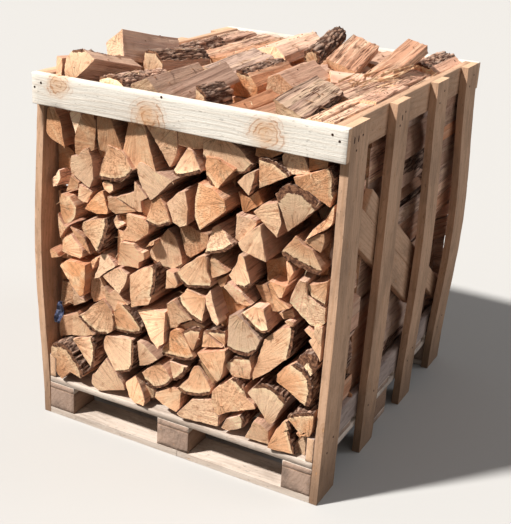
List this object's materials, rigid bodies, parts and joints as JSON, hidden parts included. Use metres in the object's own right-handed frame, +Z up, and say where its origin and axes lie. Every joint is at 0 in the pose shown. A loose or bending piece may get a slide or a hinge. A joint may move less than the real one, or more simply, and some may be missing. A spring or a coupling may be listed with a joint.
{
  "type": "pallet of firewood",
  "caption": "Open crate of nailed boards on a block pallet, filled with rows of stacked split logs, with loose split logs on top and fork pockets underneath.",
  "frame": {"origin": "on the ground under the centre of the pallet", "axes": "+Z up, X across the front, -Y towards the front, whose face has the rail across the posts and the open log ends"},
  "size_m": [1.1046, 1.2506, 1.3122],
  "materials": {
    "split_log": "split faces and sawn end grain with bark on some sides, matt",
    "fresh_pale_board": "rough sawn fresh softwood, matt",
    "sawn_board": "rough sawn softwood, matt",
    "weathered_board": "weathered grey softwood with dirt, matt",
    "pallet_block": "end grain softwood block, matt and dirty"
  },
  "bodies": {
    "root": {"block_back_left": "pallet_block", "block_back_middle": "pallet_block", "block_back_right": "pallet_block", "block_front_left": "pallet_block", "block_front_middle": "pallet_block", "block_front_right": "pallet_block", "block_middle_left": "pallet_block", "block_middle_middle": "pallet_block", "block_middle_right": "pallet_block", "bottom_board_back": "weathered_board", "bottom_board_front_left": "weathered_board", "bottom_board_front_right": "weathered_board", "bottom_board_middle": "weathered_board", "bottom_rail_left": "sawn_board", "bottom_rail_right": "sawn_board", "deck_board_1": "weathered_board", "deck_board_2": "weathered_board", "deck_board_3": "weathered_board", "deck_board_4": "weathered_board", "deck_board_5": "weathered_board", "deck_board_6": "weathered_board", "deck_board_7": "weathered_board", "diagonal_lower_left": "sawn_board", "diagonal_lower_right": "sawn_board", "diagonal_upper_left": "sawn_board", "diagonal_upper_right": "sawn_board", "log_row_1": "split_log", "log_row_2": "split_log", "log_row_3": "split_log", "log_row_4": "split_log", "loose_log_bark_edge": "split_log", "loose_log_bark_top": "split_log", "loose_log_block": "split_log", "loose_log_brown": "split_log", "loose_log_dark_bark": "split_log", "loose_log_fibrous": "split_log", "loose_log_flat_pale": "split_log", "loose_log_grey_face": "split_log", "loose_log_lifted": "split_log", "loose_log_low_bark": "split_log", "loose_log_orange": "split_log", "loose_log_ridged": "split_log", "loose_log_right_bark": "split_log", "loose_log_slim": "split_log", "loose_log_straight_grain": "split_log", "post_left_1": "sawn_board", "post_left_2": "sawn_board", "post_left_3": "sawn_board", "post_left_4": "sawn_board", "post_right_1": "sawn_board", "post_right_2": "sawn_board", "post_right_3": "sawn_board", "post_right_4": "sawn_board", "stringer_left": "weathered_board", "stringer_middle": "weathered_board", "stringer_right": "weathered_board", "top_rail_back": "fresh_pale_board", "top_rail_front": "fresh_pale_board", "top_rail_left": "sawn_board", "top_rail_right": "sawn_board"}
  },
  "joints": []
}
